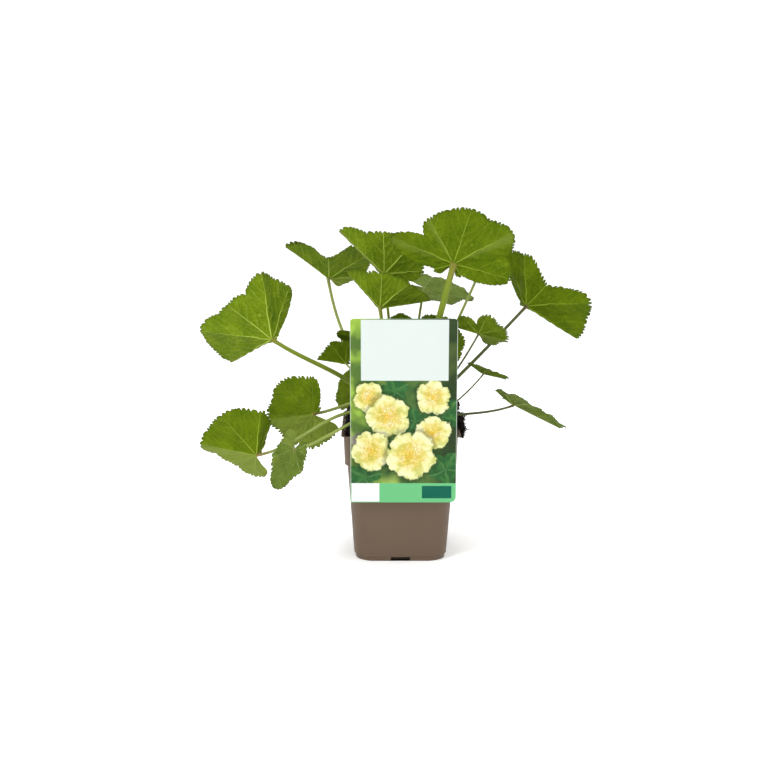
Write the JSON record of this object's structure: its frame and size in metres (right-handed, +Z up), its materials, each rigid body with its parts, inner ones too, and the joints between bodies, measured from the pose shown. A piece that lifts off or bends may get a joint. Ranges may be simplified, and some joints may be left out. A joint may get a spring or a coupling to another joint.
{
  "type": "potted hollyhock",
  "caption": "Young hollyhock in a square nursery pot: lobed leaves on long stalks that rise from one crown in dark soil, with a plain flower label hooked over the rim.",
  "frame": {"origin": "centre of the pot's flat underside, on the surface it stands on", "axes": "+Z up, -Y towards the side with the label, +X to the right as seen from that side"},
  "size_m": [0.365, 0.2128, 0.3299],
  "materials": {
    "leaf": "satin",
    "stalk": "satin",
    "pot": "matte",
    "soil": "matte",
    "label": "satin"
  },
  "bodies": {
    "root": {"pot": "pot", "soil": "soil", "peat_left": "soil", "peat_right": "soil", "label": "label", "crown": "stalk", "leaf_left_high": "leaf", "leaf_upper_left": "leaf", "leaf_top_middle": "leaf", "leaf_front_middle": "leaf", "leaf_top_right": "leaf", "leaf_behind_top": "leaf", "leaf_right_high": "leaf", "leaf_right_small": "leaf", "leaf_right_edge_on": "leaf", "leaf_right_low": "leaf", "leaf_far_left_low": "leaf", "leaf_left_low": "leaf", "leaf_front_left_low": "leaf", "leaf_left_small": "leaf", "leaf_left_tiny": "leaf", "leaf_middle_small": "leaf", "leaf_back_low": "leaf", "leaf_back_right_low": "leaf", "leaf_back_left_low": "leaf", "leaf_back_foot": "leaf", "leaf_back_right_high": "leaf", "stalk_left_high": "stalk", "stalk_upper_left": "stalk", "stalk_top_middle": "stalk", "stalk_front_middle": "stalk", "stalk_top_right": "stalk", "stalk_behind_top": "stalk", "stalk_right_high": "stalk", "stalk_right_small": "stalk", "stalk_right_edge_on": "stalk", "stalk_right_low": "stalk", "stalk_far_left_low": "stalk", "stalk_left_low": "stalk", "stalk_front_left_low": "stalk", "stalk_left_small": "stalk", "stalk_left_tiny": "stalk", "stalk_middle_small": "stalk", "stalk_back_low": "stalk", "stalk_back_right_low": "stalk", "stalk_back_left_low": "stalk", "stalk_back_foot": "stalk", "stalk_back_right_high": "stalk"}
  },
  "joints": []
}
